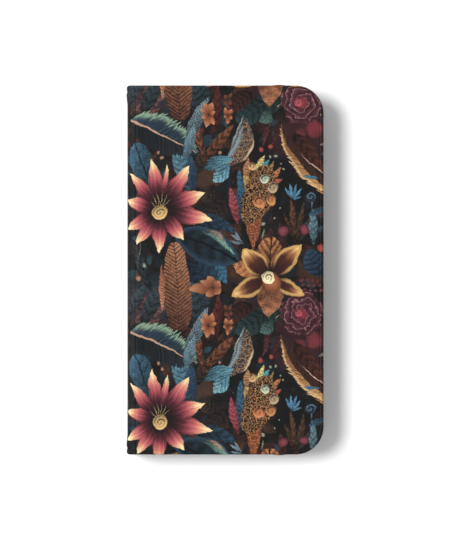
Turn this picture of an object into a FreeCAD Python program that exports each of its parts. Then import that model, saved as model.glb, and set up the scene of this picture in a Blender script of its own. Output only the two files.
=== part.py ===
"""A folio phone case: a printed leather cover that folds like a book round a plastic phone tray.

Frame: millimetres, +Z up. The closed case lies on its back cover. The spine is at -X, the covers' free
edge at +X and the top of the phone at +Y. The origin is under the middle of the closed case.
"""

import FreeCAD
import Part

import math
import os

# The phone that the case is made for, a 6.1 inch handset.
PHONE_WIDTH = 75.7
PHONE_LENGTH = 150.9
PHONE_DEPTH = 8.3
PHONE_CORNER = 10.0

# The closed case, seen from the front.
CASE_WIDTH = 84.0
COVER_LENGTH = 157.2
COVER_CORNER = 12.0

# The layers of a cover: printed leather, stiffening board, microfibre lining.
SKIN = 0.8
BOARD = 1.0
LINING = 0.6
COVER = SKIN + BOARD + LINING
EDGE_ROUNDING = 1.15
TURN_IN = 2.2  # how far the leather comes round the edge onto the inner face

# The spine has a thinner board, and swells where the leather is turned in at its two ends.
SPINE_BOARD = 0.6
SPINE = SKIN + SPINE_BOARD + LINING
SPINE_SWELL = 0.4
# Distance from the spine's end, and share of the swell there: turned-in end, pressed groove, swell, plain.
SPINE_END_PROFILE = ((0.0, 0.85), (2.0, 0.85), (2.6, 0.2), (4.0, 1.0), (8.0, 0.0))

# The folds: leather and lining with no board, bent to a quarter round when the case is closed.
FOLD_LINING = 0.5
FOLD = SKIN + FOLD_LINING
FOLD_REACH = 2.5  # from the fold's axis to where a board begins
FOLD_GAP = 0.1  # between parts that turn against each other

# The phone tray, moulded in polycarbonate and stuck to the back cover.
ADHESIVE = 0.3
ADHESIVE_MARGIN = 3.0
TRAY_FLOOR = 1.0
TRAY_WALL = 1.3
TRAY_LIP = 0.8
LIP_OVERHANG = 0.7
PHONE_CLEARANCE = 0.2
TRAY_SPINE_GAP = 0.3
CAMERA_WIDTH = 30.0
CAMERA_LENGTH = 31.0
CAMERA_CORNER = 8.0
CAMERA_RIM = 1.2
CAMERA_GAP = 0.3
CAMERA_FROM_SIDE = 19.5
CAMERA_FROM_TOP = 20.0
VOLUME_KEYS_Y = (8.0, 50.0)
POWER_KEY_Y = (24.0, 44.0)
KEY_NOTCH_SILL = 1.4
KEY_NOTCH_CORNER = 2.5
CHARGING_PORT = (14.0, 6.0, 2.5)  # width, height and corner radius
SPEAKER_SLOT = (13.0, 3.2, 1.55)
SPEAKER_FROM_MIDDLE = 21.0
TRAY_FOOT_ROUNDING = 0.9
TRAY_LIP_ROUNDING = 0.45

# The pockets inside the front cover, each a sheet of thin leather on the one before.
POCKET_SHEET = 0.5
POCKET_SHEETS = 3
LID_GAP = 0.5  # between the lowest pocket and the tray's lip
BINDING_WIDTH = 5.5
BINDING_SWELL = 0.4  # how far the trapped ends of the binding push out the cover's edge
BINDING_ROUNDING = 0.4
CARD_POCKET_WIDTH = 55.6
CARD_POCKET_FOOT = 6.0  # above the lower end of the note pocket
CARD_POCKET_TOPS = (34.0, 14.0)
CARD_POCKET_CORNERS = (3.0, 1.0)  # at the foot and at the top
THUMB_NOTCH_RADIUS = 9.0

# Thread.
STITCH_RADIUS = 0.22
STITCH_LENGTH = 2.2
STITCH_PITCH = 3.2
SEAM_MARGIN = 1.3  # from a pocket's edge to its seam
SEAM_END = 1.0  # from the end of a seam to the edge or the seam that it runs to

# Levels, from the table up.
TRAY_BOTTOM = COVER + ADHESIVE
PHONE_SEAT = TRAY_BOTTOM + TRAY_FLOOR
LIP_UNDERSIDE = PHONE_SEAT + PHONE_DEPTH + PHONE_CLEARANCE / 2
TRAY_TOP = LIP_UNDERSIDE + TRAY_LIP
FRONT_INNER = TRAY_TOP + LID_GAP + POCKET_SHEETS * POCKET_SHEET
CASE_DEPTH = FRONT_INNER + COVER

# Places across the case.
FREE_EDGE = CASE_WIDTH / 2
SPINE_FACE = -CASE_WIDTH / 2 + SPINE_SWELL
FOLD_AXIS_X = SPINE_FACE + FOLD / 2
BACK_AXIS_Z = FOLD / 2
FRONT_AXIS_Z = CASE_DEPTH - FOLD / 2
BOARD_START = FOLD_AXIS_X + FOLD_REACH + FOLD_GAP
HALF_LENGTH = COVER_LENGTH / 2
CAVITY_WIDTH = PHONE_WIDTH + 2 * PHONE_CLEARANCE
CAVITY_LENGTH = PHONE_LENGTH + 2 * PHONE_CLEARANCE
CAVITY_CORNER = PHONE_CORNER + PHONE_CLEARANCE
TRAY_WIDTH = CAVITY_WIDTH + 2 * TRAY_WALL
TRAY_LENGTH = CAVITY_LENGTH + 2 * TRAY_WALL
TRAY_X = SPINE_FACE + SPINE + TRAY_SPINE_GAP + TRAY_WIDTH / 2
CAMERA_X = TRAY_X + PHONE_WIDTH / 2 - CAMERA_FROM_SIDE
CAMERA_Y = PHONE_LENGTH / 2 - CAMERA_FROM_TOP
POCKET_HALF_LENGTH = HALF_LENGTH - TURN_IN
POCKET_START = BOARD_START + 1.2
CARD_POCKET_START = POCKET_START + 0.6
CARD_POCKET_END = CARD_POCKET_START + CARD_POCKET_WIDTH
CARD_POCKET_FOOT_Y = -POCKET_HALF_LENGTH + CARD_POCKET_FOOT
BINDING_START = 20.3
BINDING_END = BINDING_START + BINDING_WIDTH

EPSILON = 1e-6


def vector(x, y, z):
    return FreeCAD.Vector(x, y, z)


def block(x_range, y_range, z_range):
    """A box between two corners."""
    low = vector(x_range[0], y_range[0], z_range[0])
    sides = [r[1] - r[0] for r in (x_range, y_range, z_range)]
    return Part.makeBox(*sides, low)


def prism(points, z_range):
    """A polygon in plan, raised between two levels. A point's third number, if any, rounds it."""
    wire = rounded_wire(points)
    wire.translate(vector(0, 0, z_range[0]))
    return Part.Face(wire).extrude(vector(0, 0, z_range[1] - z_range[0]))


def rounded_wire(points):
    """A closed outline of straight runs, with an arc at each point that has a radius."""
    corners = []
    for index, point in enumerate(points):
        here = vector(point[0], point[1], 0)
        if len(point) == 2:
            corners.append((here, None, here))
            continue
        before = vector(*points[index - 1][:2], 0)
        after = vector(*points[(index + 1) % len(points)][:2], 0)
        towards_before = (before - here).normalize()
        towards_after = (after - here).normalize()
        half_angle = towards_before.getAngle(towards_after) / 2
        setback = point[2] / math.tan(half_angle)
        bisector = (towards_before + towards_after).normalize()
        depth = point[2] / math.sin(half_angle) - point[2]
        arc_start = here + towards_before * setback
        arc_end = here + towards_after * setback
        corners.append((arc_start, here + bisector * depth, arc_end))
    edges = []
    for index, (start, middle, end) in enumerate(corners):
        if middle is not None:
            edges.append(Part.Arc(start, middle, end).toShape())
        following = corners[(index + 1) % len(corners)][0]
        if (following - end).Length > EPSILON:
            edges.append(Part.LineSegment(end, following).toShape())
    return Part.Wire(edges)


def rounded_slab(centre, width, length, corner, z_range):
    """A rectangle with four round corners, raised between two levels."""
    x, y = centre
    half_w, half_l = width / 2, length / 2
    signs = ((1, -1), (1, 1), (-1, 1), (-1, -1))
    return prism([(x + sx * half_w, y + sy * half_l, corner) for sx, sy in signs], z_range)


def cover_slab(inset, z_range, swell=0.0):
    """The outline of a cover, taken in from its free edges, raised between two levels.

    With a swell, both ends are pushed out where the note pocket's binding is trapped in the edge.
    """
    right, end = FREE_EDGE - inset, HALF_LENGTH - inset
    corner = COVER_CORNER - inset
    if not swell:
        swollen = []
    else:
        slope = BINDING_WIDTH / 4
        swollen = [
            (BINDING_START, end),
            (BINDING_START + slope, end + swell),
            (BINDING_END - slope, end + swell),
            (BINDING_END, end),
        ]
    lower = [(x, -y) for x, y in swollen]
    upper = swollen[::-1]
    free_corners = [(right, -end, corner), (right, end, corner)]
    around = [(BOARD_START, -end), *lower, *free_corners, *upper, (BOARD_START, end)]
    return prism(around, z_range)


def round_cover_edges(slab):
    """Rounds the free edges of a cover, and leaves the edge at the fold square."""
    edges = [
        edge
        for edge in slab.Edges
        if edge.BoundBox.ZLength < EPSILON and edge.BoundBox.XMax > BOARD_START + EPSILON
    ]
    return slab.makeFillet(EDGE_ROUNDING, edges)


def camera_opening(grow, z_range):
    """The camera window, grown outwards on every side."""
    width, length = CAMERA_WIDTH + 2 * grow, CAMERA_LENGTH + 2 * grow
    return rounded_slab((CAMERA_X, CAMERA_Y), width, length, CAMERA_CORNER + grow, z_range)


def without(shape, *others):
    for other in others:
        shape = shape.cut(other)
    return shape


def front_cover():
    """The front cover's skin, board and lining: the leather is a channel turned in round three edges."""
    inner, board_face, skin_face = FRONT_INNER, FRONT_INNER + LINING, FRONT_INNER + LINING + BOARD
    board = cover_slab(SKIN, (board_face, skin_face))
    lining = cover_slab(TURN_IN, (inner, board_face))
    envelope = round_cover_edges(cover_slab(0, (inner, CASE_DEPTH), BINDING_SWELL))
    return {"front_skin": without(envelope, board, lining), "front_board": board, "front_lining": lining}


def back_cover():
    """The back cover's skin, board and lining, with the camera window through all three."""
    board_face, lining_face = SKIN, SKIN + BOARD
    window = camera_opening(CAMERA_RIM + CAMERA_GAP, (-1, COVER + 1))
    board = cover_slab(SKIN, (board_face, lining_face))
    lining = cover_slab(TURN_IN, (lining_face, COVER))
    envelope = round_cover_edges(cover_slab(0, (0, COVER)))
    return {
        "back_skin": without(envelope, board, lining, window),
        "back_board": without(board, window),
        "back_lining": without(lining, window),
    }


def spine():
    """The spine's skin, turned in at both ends, with its thin board and its lining."""
    levels = (BACK_AXIS_Z + FOLD_REACH + FOLD_GAP, FRONT_AXIS_Z - FOLD_REACH)
    board_x = (SPINE_FACE + SKIN, SPINE_FACE + SKIN + SPINE_BOARD)
    lining_x = (board_x[1], SPINE_FACE + SPINE)
    board = block(board_x, (-HALF_LENGTH + SKIN, HALF_LENGTH - SKIN), levels)
    lining = block(lining_x, (-HALF_LENGTH + TURN_IN, HALF_LENGTH - TURN_IN), levels)
    upper = [(SPINE_FACE - share * SPINE_SWELL, HALF_LENGTH - along) for along, share in SPINE_END_PROFILE]
    lower = [(x, -y) for x, y in upper[::-1]]
    around = [*upper, *lower, (lining_x[1], -HALF_LENGTH), (lining_x[1], HALF_LENGTH)]
    return {
        "spine_skin": without(prism(around, levels), board, lining),
        "spine_board": board,
        "spine_lining": lining,
    }


def quarter_round(outer, inner, centre_z, upper):
    """A quarter of a tube along the case, between two radii, on the spine side of its centre."""
    centre_x = FOLD_AXIS_X + FOLD_REACH
    start = vector(centre_x, -HALF_LENGTH, centre_z)
    along = vector(0, 1, 0)
    tube = Part.makeCylinder(outer, COVER_LENGTH, start, along).cut(
        Part.makeCylinder(inner, COVER_LENGTH, start, along)
    )
    z_range = (centre_z, centre_z + outer + 1) if upper else (centre_z - outer - 1, centre_z)
    return tube.common(block((centre_x - outer - 1, centre_x), (-HALF_LENGTH, HALF_LENGTH), z_range))


def folds():
    """The two folds, where only leather and lining join the spine to the covers."""
    outer = FOLD_REACH + FOLD / 2
    between = outer - SKIN
    inner = between - FOLD_LINING
    front_z, back_z = FRONT_AXIS_Z - FOLD_REACH, BACK_AXIS_Z + FOLD_REACH
    return {
        "front_fold_skin": quarter_round(outer, between, front_z, True),
        "front_fold_lining": quarter_round(between, inner, front_z, True),
        "back_fold_skin": quarter_round(outer, between, back_z, False),
        "back_fold_lining": quarter_round(between, inner, back_z, False),
    }


def wall_notch(x_range, y_range):
    """A notch down through the tray's side wall, with two round corners at its foot."""
    foot, top, corner = PHONE_SEAT + KEY_NOTCH_SILL, TRAY_TOP + 1, KEY_NOTCH_CORNER
    # Drawn in plan as (height, place along the case), then stood up on its edge.
    around = [(foot, y_range[0], corner), (top, y_range[0]), (top, y_range[1]), (foot, y_range[1], corner)]
    notch = prism(around, (-x_range[1], -x_range[0]))
    notch.rotate(vector(0, 0, 0), vector(0, 1, 0), -90)
    return notch


def end_slot(centre_x, width, height, corner):
    """A slot with round corners through the tray's lower end wall, at the phone's mid height."""
    slot = rounded_slab((centre_x, 0), width, height, corner, (0, 2 * TRAY_WALL + 2))
    slot.rotate(vector(0, 0, 0), vector(1, 0, 0), 90)
    slot.translate(vector(0, -TRAY_LENGTH / 2 + 2 * TRAY_WALL + 1, PHONE_SEAT + PHONE_DEPTH / 2))
    return slot


def phone_tray():
    """The moulded tray: a snap-in frame for the phone, with a camera rim down through the back cover."""
    corner = CAVITY_CORNER + TRAY_WALL
    tray = rounded_slab((TRAY_X, 0), TRAY_WIDTH, TRAY_LENGTH, corner, (TRAY_BOTTOM, TRAY_TOP))
    foot = [edge for edge in tray.Edges if edge.BoundBox.ZMax < TRAY_BOTTOM + EPSILON]
    tray = tray.makeFillet(TRAY_FOOT_ROUNDING, foot)
    rim_top = [edge for edge in tray.Edges if edge.BoundBox.ZMin > TRAY_TOP - EPSILON]
    tray = tray.makeFillet(TRAY_LIP_ROUNDING, rim_top)
    camera_rim = camera_opening(CAMERA_RIM, (CAMERA_GAP, PHONE_SEAT))
    seat = rounded_slab((TRAY_X, 0), CAVITY_WIDTH, CAVITY_LENGTH, CAVITY_CORNER, (PHONE_SEAT, LIP_UNDERSIDE))
    mouth_size = (CAVITY_WIDTH - 2 * LIP_OVERHANG, CAVITY_LENGTH - 2 * LIP_OVERHANG)
    mouth = rounded_slab((TRAY_X, 0), *mouth_size, CAVITY_CORNER - LIP_OVERHANG, (PHONE_SEAT, TRAY_TOP + 1))
    left_wall = (TRAY_X - TRAY_WIDTH / 2 - 1, TRAY_X - TRAY_WIDTH / 2 + 2 * TRAY_WALL)
    right_wall = (TRAY_X + TRAY_WIDTH / 2 - 2 * TRAY_WALL, TRAY_X + TRAY_WIDTH / 2 + 1)
    cuts = [
        seat,
        mouth,
        camera_opening(0, (-1, PHONE_SEAT + 1)),
        wall_notch(left_wall, VOLUME_KEYS_Y),
        wall_notch(right_wall, POWER_KEY_Y),
        end_slot(TRAY_X, *CHARGING_PORT),
        end_slot(TRAY_X - SPEAKER_FROM_MIDDLE, *SPEAKER_SLOT),
        end_slot(TRAY_X + SPEAKER_FROM_MIDDLE, *SPEAKER_SLOT),
    ]
    return {"phone_tray": without(tray.fuse(camera_rim), *cuts)}


def tray_adhesive():
    """The double-sided sheet that holds the tray to the back cover's lining."""
    size = (TRAY_WIDTH - 2 * ADHESIVE_MARGIN, TRAY_LENGTH - 2 * ADHESIVE_MARGIN)
    sheet = rounded_slab((TRAY_X, 0), *size, CAVITY_CORNER - ADHESIVE_MARGIN, (COVER, TRAY_BOTTOM))
    return {"tray_adhesive": sheet.cut(camera_opening(CAMERA_RIM + CAMERA_GAP, (0, TRAY_BOTTOM + 1)))}


def card_pocket(top_y, sheet_index):
    """A card pocket open at its top, with a thumb notch there."""
    z_top = FRONT_INNER - sheet_index * POCKET_SHEET
    foot_corner, top_corner = CARD_POCKET_CORNERS
    around = [
        (CARD_POCKET_START, CARD_POCKET_FOOT_Y, foot_corner),
        (CARD_POCKET_END, CARD_POCKET_FOOT_Y, foot_corner),
        (CARD_POCKET_END, top_y, top_corner),
        (CARD_POCKET_START, top_y, top_corner),
    ]
    levels = (z_top - POCKET_SHEET, z_top)
    middle = (CARD_POCKET_START + CARD_POCKET_END) / 2
    thumb_centre = vector(middle, top_y + THUMB_NOTCH_RADIUS / 3, levels[0] - 1)
    return prism(around, levels).cut(Part.makeCylinder(THUMB_NOTCH_RADIUS, 3, thumb_centre))


def pockets():
    """The full-length note pocket with its bound edge, and two card pockets on top of it."""
    levels = (FRONT_INNER - POCKET_SHEET, FRONT_INNER)
    whole = (-POCKET_HALF_LENGTH, POCKET_HALF_LENGTH)
    binding = block((BINDING_START, BINDING_END), whole, (FRONT_INNER - 2 * POCKET_SHEET, FRONT_INNER))
    outer_edges = [
        edge
        for edge in binding.Edges
        if edge.BoundBox.ZMax < FRONT_INNER - POCKET_SHEET and edge.BoundBox.XLength < EPSILON
    ]
    return {
        "note_pocket": block((POCKET_START, BINDING_START), whole, levels),
        "note_pocket_binding": binding.makeFillet(BINDING_ROUNDING, outer_edges),
        "card_pocket_upper": card_pocket(CARD_POCKET_TOPS[0], 1),
        "card_pocket_lower": card_pocket(CARD_POCKET_TOPS[1], 2),
    }


def seam(start, end, z):
    """Stitches in a row on the underside of a sheet, from one place in plan to another."""
    run = vector(end[0] - start[0], end[1] - start[1], 0)
    direction = vector(run.x, run.y, 0).normalize()
    count = int((run.Length - STITCH_LENGTH) // STITCH_PITCH) + 1
    first = (run.Length - (count - 1) * STITCH_PITCH) / 2
    stitches = []
    for index in range(count):
        middle = vector(start[0], start[1], z) + direction * (first + index * STITCH_PITCH)
        needle_hole = middle - direction * (STITCH_LENGTH / 2)
        thread = Part.makeCylinder(STITCH_RADIUS, STITCH_LENGTH, needle_hole, direction)
        reach = STITCH_LENGTH
        below = block((middle.x - reach, middle.x + reach), (middle.y - reach, middle.y + reach), (z - 1, z))
        stitches.append(thread.common(below))
    return stitches


def stitching():
    """The thread that holds the pockets: down both sides and across the foot of the card pockets."""
    left, right = CARD_POCKET_START + SEAM_MARGIN, CARD_POCKET_END - SEAM_MARGIN
    foot = CARD_POCKET_FOOT_Y + SEAM_MARGIN
    upper_top, lower_top = CARD_POCKET_TOPS
    upper_z, lower_z = FRONT_INNER - 2 * POCKET_SHEET, FRONT_INNER - 3 * POCKET_SHEET
    card_seams = []
    for x in (left, right):
        card_seams += seam((x, foot + SEAM_END), (x, lower_top - SEAM_END), lower_z)
        card_seams += seam((x, lower_top + SEAM_END), (x, upper_top - SEAM_END), upper_z)
    card_seams += seam((left + SEAM_END, foot), (right - SEAM_END, foot), lower_z)
    ends = POCKET_HALF_LENGTH - SEAM_END
    binding_x = BINDING_START + SEAM_MARGIN
    binding_seam = seam((binding_x, -ends), (binding_x, ends), upper_z)
    return {
        "card_pocket_stitching": Part.makeCompound(card_seams),
        "binding_stitching": Part.makeCompound(binding_seam),
    }


def main():
    os.makedirs("parts", exist_ok=True)
    nodes = {}
    for make in (back_cover, spine, folds, front_cover, phone_tray, tray_adhesive, pockets, stitching):
        nodes.update(make())
    for name, shape in nodes.items():
        if len(shape.Solids) == 1:
            shape = shape.Solids[0]
        shape.exportStep(os.path.join("parts", name + ".step"))
        print(f"{name}: {len(shape.Solids)} solids, valid {shape.isValid()}, {shape.Volume:.1f} mm3")


main()
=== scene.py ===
"""Looks of a folio phone case: a printed leather cover folded round a moulded phone tray."""

import bpy
import numpy as np
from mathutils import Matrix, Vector


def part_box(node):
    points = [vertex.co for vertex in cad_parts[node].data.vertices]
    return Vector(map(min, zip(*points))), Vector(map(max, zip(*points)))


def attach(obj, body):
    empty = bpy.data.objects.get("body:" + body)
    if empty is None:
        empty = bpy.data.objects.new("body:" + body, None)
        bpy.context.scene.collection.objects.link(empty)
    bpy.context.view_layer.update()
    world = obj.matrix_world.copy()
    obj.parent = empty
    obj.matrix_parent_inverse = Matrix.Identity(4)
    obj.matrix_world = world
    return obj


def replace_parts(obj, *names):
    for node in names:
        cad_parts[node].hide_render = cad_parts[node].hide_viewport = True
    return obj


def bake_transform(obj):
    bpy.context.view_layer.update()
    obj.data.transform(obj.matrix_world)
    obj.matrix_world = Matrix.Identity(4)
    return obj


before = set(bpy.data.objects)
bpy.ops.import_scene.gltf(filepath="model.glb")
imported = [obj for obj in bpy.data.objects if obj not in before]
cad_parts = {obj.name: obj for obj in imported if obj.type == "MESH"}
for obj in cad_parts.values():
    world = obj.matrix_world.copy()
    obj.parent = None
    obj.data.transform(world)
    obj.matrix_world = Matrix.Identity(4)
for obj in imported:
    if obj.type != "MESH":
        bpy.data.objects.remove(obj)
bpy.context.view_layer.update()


# ---------------------------------------------------------------------------------------------
# The back cover's skin: printed faux leather, a matt coating on cloth, cut in one sheet for the
# whole case. It is glued over the board, turned in round three edges and cut for the camera.
# ---------------------------------------------------------------------------------------------
MM = 0.001
BACK_LOW, BACK_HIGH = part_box("back_skin")
FRONT_LOW, FRONT_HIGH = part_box("front_skin")
COVER_START = BACK_LOW.x  # where the board ends beside the spine
FREE_EDGE = BACK_HIGH.x
HALF_LENGTH = BACK_HIGH.y
COVER = BACK_HIGH.z - BACK_LOW.z  # a cover's thickness
CORNER = 12.0 * MM
ROUND_START = HALF_LENGTH - CORNER  # where the free edge's round corners begin, along the case
LEATHER = 0.6 * MM

# The turned edge, as distances in from the outline.
RIM = 2.6 * MM  # beyond this the leather lies flat
EDGE_ROUND = 1.15 * MM
TURN_IN = 2.2 * MM
CREASE_AT = 1.55 * MM  # where the board's edge shows through
CREASE_WIDTH = 0.2 * MM
CREASE_DEPTH = 0.14 * MM


def mesh_piece(name, patches):
    """Makes one mesh of several patches of points, joined wherever their points meet.

    A patch is (points, print places): rows x columns x 3 in metres, and rows x columns x 2 in
    millimetres on the printed sheet. Its faces look along (next row) x (next column).
    """
    points = np.concatenate([p.reshape(-1, 3) for p, _ in patches])
    places = np.concatenate([q.reshape(-1, 2) for _, q in patches])
    keys = np.round(points / (0.001 * MM)).astype(np.int64)
    _, first, joined = np.unique(keys, axis=0, return_index=True, return_inverse=True)
    joined = joined.ravel()
    corners = []
    start = 0
    for p, _ in patches:
        index = start + np.arange(p.shape[0] * p.shape[1]).reshape(p.shape[:2])
        start += index.size
        around = (index[:-1, :-1], index[1:, :-1], index[1:, 1:], index[:-1, 1:])
        corners.append(np.stack(around, -1).reshape(-1, 4))
    quads = joined[np.concatenate(corners)]
    whole = (quads != np.roll(quads, 1, axis=1)).all(axis=1)
    pinched = [list(dict.fromkeys(quad)) for quad in quads[~whole].tolist()]
    faces = quads[whole].tolist() + [face for face in pinched if len(face) == 3]
    mesh = bpy.data.meshes.new(name)
    mesh.from_pydata(points[first].tolist(), [], faces)
    mesh.shade_smooth()
    flat_places = np.zeros((len(first), 3), np.float32)
    flat_places[:, :2] = places[first]
    mesh.attributes.new("print_mm", "FLOAT_VECTOR", "POINT").data.foreach_set("vector", flat_places.ravel())
    piece = bpy.data.objects.new(name, mesh)
    bpy.context.scene.collection.objects.link(piece)
    return piece


def thicken(piece, thickness):
    """Gives a sheet its wall, on the side that its faces look away from."""
    wall = piece.modifiers.new("wall", "SOLIDIFY")
    wall.thickness = thickness
    wall.offset = -1
    return piece


def run_length(*coordinates):
    """Distance along a line of points from its first point."""
    steps = np.sqrt(sum(np.diff(c) ** 2 for c in coordinates))
    return np.concatenate([[0], np.cumsum(steps)])


def places_along(inset):
    """Places from one end of a cover to the other, closer together where its corners turn."""
    corner = CORNER - inset
    turning = ROUND_START + corner * np.sin(np.linspace(0, np.pi / 2, 29))
    straight = np.linspace(-ROUND_START, ROUND_START, 91)[1:-1]
    return np.concatenate([-turning[::-1], straight, turning])


def cover_field(inset):
    """The plain part of a cover as a grid of x and y, rows across the case and columns along it.

    Every column runs from the fold to the free edge, which is straight and turns through a quarter
    circle at each end. Only the points near the free edge move in with it.
    """
    along = places_along(inset)
    past = np.maximum(np.abs(along) - ROUND_START, 0)
    end = FREE_EDGE - CORNER + np.sqrt(np.maximum((CORNER - inset) ** 2 - past**2, 0))
    bend = FREE_EDGE - CORNER - 4 * MM
    plain = np.linspace(COVER_START, bend, 44)[:-1, None]
    share = np.linspace(0, 1, 11)[:, None]
    x = np.concatenate([np.broadcast_to(plain, (plain.size, end.size)), bend + share * (end - bend)])
    return x, np.broadcast_to(along, x.shape)


def cover_outline(x, y, inset):
    """The field's free edges as one line from the fold round to the fold, with its outward direction."""
    line_x = np.concatenate([x[:, 0], x[-1, 1:-1], x[::-1, -1]])
    line_y = np.concatenate([y[:, 0], y[-1, 1:-1], y[::-1, -1]])
    past = np.clip(np.abs(y[-1, 1:-1]) - ROUND_START, 0, None) / (CORNER - inset)
    ends = np.zeros(x.shape[0])
    out_x = np.concatenate([ends, np.sqrt(1 - past**2), ends])
    out_y = np.concatenate([ends - 1, np.sign(y[-1, 1:-1]) * past, ends + 1])
    return line_x, line_y, out_x, out_y


def turned_edge():
    """The line that leather takes round an edge: inset, share of the thickness, and depth of crease.

    It comes in along the face, dips where the board's edge shows, follows half an ellipse round to
    the inner face, runs back along it and dips at the end of the turn-in.
    """
    face = np.linspace(RIM, EDGE_ROUND, 12)[:-1]
    turn = np.linspace(0, np.pi, 15)
    inset = np.concatenate([face, EDGE_ROUND * (1 - np.sin(turn)), [1.7 * MM, TURN_IN - 0.1 * MM, TURN_IN]])
    share = np.concatenate([np.ones(face.size), (1 + np.cos(turn)) / 2, [0, 0, 0.1]])
    crease = CREASE_DEPTH * np.exp(-(((inset - CREASE_AT) / CREASE_WIDTH) ** 2)) * (share > 0.5)
    return inset, share, crease


EDGE_INSET, EDGE_SHARE, EDGE_CREASE = turned_edge()


def stack(x, y, z):
    return np.stack(np.broadcast_arrays(x, y, z), -1)


def rim_patch(x, y, level, facing, print_place, swell=None):
    """The turned edge carried along the outline. The swell pushes the edge out along the case."""
    line_x, line_y, out_x, out_y = cover_outline(x, y, RIM)
    beyond = (RIM - EDGE_INSET)[:, None]
    height = (COVER * EDGE_SHARE - EDGE_CREASE)[:, None]
    along_edge = run_length(EDGE_INSET, COVER * EDGE_SHARE)[:, None]
    rim_x = line_x + out_x * beyond
    rim_y = line_y + out_y * beyond
    place_x, place_y = print_place(line_x + out_x * along_edge, line_y + out_y * along_edge)
    if swell is not None:
        pushed = np.clip(beyond / (RIM - EDGE_ROUND), 0, 1) ** 2
        rim_y = rim_y + out_y * swell(rim_x) * pushed * (0.35 + 0.65 * EDGE_SHARE[:, None])
    points = stack(rim_x, rim_y, level + facing * height)
    return points, stack(place_x, place_y, 0)[..., :2]


SHEET_SPAN = 97.8  # from the middle of the front cover to the middle of the back one on the flat sheet


def back_print(x, y):
    """Where a point of the back cover was on the flat sheet, in millimetres. It is seen from behind."""
    return -SHEET_SPAN - x / MM, y / MM


def outline_reach(direction_x, direction_y, half_width, half_length, corner):
    """How far it is from the middle of a rectangle with round corners to its outline.

    A direction meets a straight side, or past a side's end the corner's circle, by the quadratic
    formula.
    """
    across, along = np.abs(direction_x), np.abs(direction_y)
    straight = np.minimum(half_width / np.maximum(across, 1e-9), half_length / np.maximum(along, 1e-9))
    centre_x, centre_y = half_width - corner, half_length - corner
    in_corner = (across * straight > centre_x) & (along * straight > centre_y)
    towards = across * centre_x + along * centre_y
    inside = np.maximum(towards**2 - (centre_x**2 + centre_y**2 - corner**2), 0)
    return np.where(in_corner, towards + np.sqrt(inside), straight)


WINDOW_CORNER = 9.5 * MM
WINDOW_ROUND = 0.5 * MM
TRAY_LOW, TRAY_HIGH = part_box("phone_tray")
WINDOW_HALF = (16.5 * MM, 17.0 * MM)
WINDOW_X = (TRAY_LOW.x + TRAY_HIGH.x) / 2 + 18.35 * MM
WINDOW_Y = 55.45 * MM


def window_rays(outer_x, outer_y):
    """Lines from the window's middle to the points round it: their ways, their lengths, and how far
    along them the window's outline lies, grown by a given width.
    """
    way_x, way_y = outer_x - WINDOW_X, outer_y - WINDOW_Y
    outer = np.hypot(way_x, way_y)
    way_x, way_y = way_x / outer, way_y / outer

    def reach(grown):
        half_width, half_length = WINDOW_HALF[0] + grown, WINDOW_HALF[1] + grown
        return outline_reach(way_x, way_y, half_width, half_length, WINDOW_CORNER + grown)

    return way_x, way_y, outer, reach


def window_border(values):
    """A cover's grid values once round the part of the grid that the window's patch replaces."""
    top, side = values[window_column:-1, -1][::-1], values[window_column, window_row:-1][::-1]
    return np.concatenate([values[window_column:, window_row], values[-1, window_row + 1:], top, side])


def window_patch(outer_x, outer_y, level, facing, print_place):
    """The leather round the camera window: down the cut edge, round its lip, then flat to the field."""
    way_x, way_y, outer, reach = window_rays(outer_x, outer_y)
    lip = np.linspace(0, np.pi / 2, 6)
    grown = np.concatenate([[0, 0], WINDOW_ROUND * (1 - np.cos(lip))])
    height = np.concatenate([[0.1 * COVER, 0.4 * COVER], COVER - WINDOW_ROUND * (1 - np.sin(lip))])
    rows = [reach(g) for g in grown]
    start = reach(WINDOW_ROUND)
    shares = np.linspace(0, 1, 15)[1:]
    rows += [start + share * (outer - start) for share in shares]
    pressed = 0.1 * MM * np.exp(-(((shares - 0.12) / 0.05) ** 2))
    heights = np.concatenate([height, COVER - pressed])[:, None]
    radius = np.stack(rows)
    x, y = WINDOW_X + way_x * radius, WINDOW_Y + way_y * radius
    place_x, place_y = print_place(x, y)
    return stack(x, y, level + facing * heights), stack(place_x, place_y, 0)[..., :2]


def face_patch(x, y, z, print_place):
    place_x, place_y = print_place(x, y)
    return stack(x, y, z), stack(place_x, place_y, 0)[..., :2]


def turned_over(patch):
    """The same patch with its faces looking the other way."""
    return tuple(part[:, ::-1] for part in patch)


field_x, field_y = cover_field(RIM)
window_column = int(np.searchsorted(field_x[:, field_x.shape[1] // 2], WINDOW_X - 23.5 * MM))
window_row = int(np.searchsorted(field_y[0], WINDOW_Y - 24 * MM))
back_level = BACK_HIGH.z
back_parts = [
    rim_patch(field_x, field_y, back_level, -1, back_print),
    face_patch(field_x[:window_column + 1], field_y[:window_column + 1], BACK_LOW.z, back_print),
    face_patch(field_x[window_column:, :window_row + 1], field_y[window_column:, :window_row + 1],
               BACK_LOW.z, back_print),
    window_patch(window_border(field_x), window_border(field_y), back_level, -1, back_print),
]
back_leather = thicken(mesh_piece("back_cover_leather", [turned_over(p) for p in back_parts]), LEATHER)


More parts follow.
